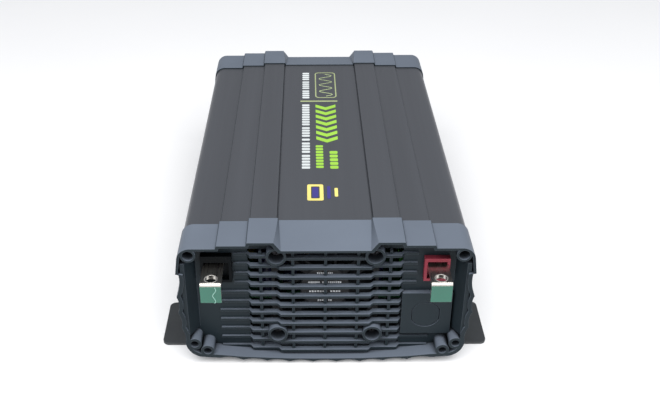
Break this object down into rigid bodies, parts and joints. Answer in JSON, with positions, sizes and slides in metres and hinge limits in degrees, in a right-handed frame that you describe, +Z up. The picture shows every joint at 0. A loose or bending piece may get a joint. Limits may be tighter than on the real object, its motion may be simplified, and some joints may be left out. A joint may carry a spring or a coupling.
{
  "type": "power inverter",
  "caption": "Fan-cooled DC to mains power inverter: dark extruded casing, moulded end caps, bar terminals, two outlets and a rocker switch.",
  "frame": {"origin": "centre of the four mounting holes, on the surface that the mounting plates stand on", "axes": "+Z up, +Y along the casing from the DC terminals to the mains outlets, +X to the right seen from the DC end"},
  "size_m": [0.256, 0.3748, 0.1121],
  "materials": {
    "dark_anodised": "dark anodised extrusion, satin",
    "cap_plastic": "grey-blue moulded plastic, matte",
    "black_coated_steel": "black powder coat",
    "nickel": "bright nickel plate",
    "copper": "bare copper, tinned at the ends",
    "zinc_steel": "zinc plated",
    "black_steel": "black oxide, slightly oiled",
    "black_plastic": "moulded black plastic",
    "red_plastic": "moulded red plastic",
    "green_film": "thin glossy film",
    "label_film": "dark printed label",
    "board": "glass-fibre board with solder mask",
    "ferrite": "sintered ferrite",
    "enamelled_copper": "enamelled copper wire",
    "winding_tape": "yellow polyester tape over copper",
    "capacitor_sleeve": "shrink sleeve on an aluminium can",
    "transistor_body": "epoxy body with a metal tab",
    "fuse_plastic": "translucent fuse body",
    "film_capacitor": "moulded box",
    "wire_insulation": "flexible insulation",
    "brass": "bright brass",
    "green_lens": "tinted lens",
    "red_lens": "tinted lens"
  },
  "bodies": {
    "casing": {"heatsink_base": "dark_anodised", "top_cover": "dark_anodised", "front_end_cap": "cap_plastic", "rear_end_cap": "cap_plastic", "port_blank": "cap_plastic", "front_cap_screws": "black_steel", "rear_cap_screws": "black_steel", "negative_terminal": "nickel", "positive_terminal": "nickel", "negative_insulator": "black_plastic", "positive_insulator": "red_plastic", "terminal_films": "green_film", "negative_busbar": "copper", "positive_busbar": "copper", "busbar_bolts": "zinc_steel", "front_mounting_plate": "black_coated_steel", "rear_mounting_plate": "black_coated_steel", "mounting_plate_screws": "zinc_steel", "fan_frame": "black_plastic", "fan_coils": "enamelled_copper", "fan_label": "label_film", "fan_screws": "black_steel", "main_board": "board", "board_standoffs": "brass", "board_screws": "zinc_steel", "transformer_cores": "ferrite", "transformer_windings": "winding_tape", "input_capacitors": "capacitor_sleeve", "bus_capacitors": "capacitor_sleeve", "choke_core": "ferrite", "choke_winding": "enamelled_copper", "choke_base": "black_plastic", "driver_transistors": "transistor_body", "output_transistors": "transistor_body", "left_clamp_bar": "zinc_steel", "right_clamp_bar": "zinc_steel", "clamp_screws": "zinc_steel", "control_board": "board", "blade_fuses": "fuse_plastic", "film_capacitors": "film_capacitor", "terminal_block": "black_plastic", "mains_wires": "wire_insulation", "left_outlet": "black_plastic", "right_outlet": "black_plastic", "outlet_contacts": "brass", "switch_frame": "black_plastic", "switch_tabs": "brass", "power_light": "green_lens", "fault_light": "red_lens", "ground_stud": "brass", "ground_nuts": "brass"},
    "fan_rotor": {"fan_rotor": "black_plastic"},
    "switch_rocker": {"switch_rocker": "black_plastic"}
  },
  "joints": [
    {"name": "fan_spin", "type": "hinge", "parent": "casing", "child": "fan_rotor", "pos_m": [0, -0.1505, 0.0611], "axis": [0, 1, 0], "continuous": true},
    {"name": "power_rocker", "type": "hinge", "parent": "casing", "child": "switch_rocker", "pos_m": [0.062, 0.1671, 0.056], "axis": [1, 0, 0], "range_deg": [0, 24]}
  ]
}
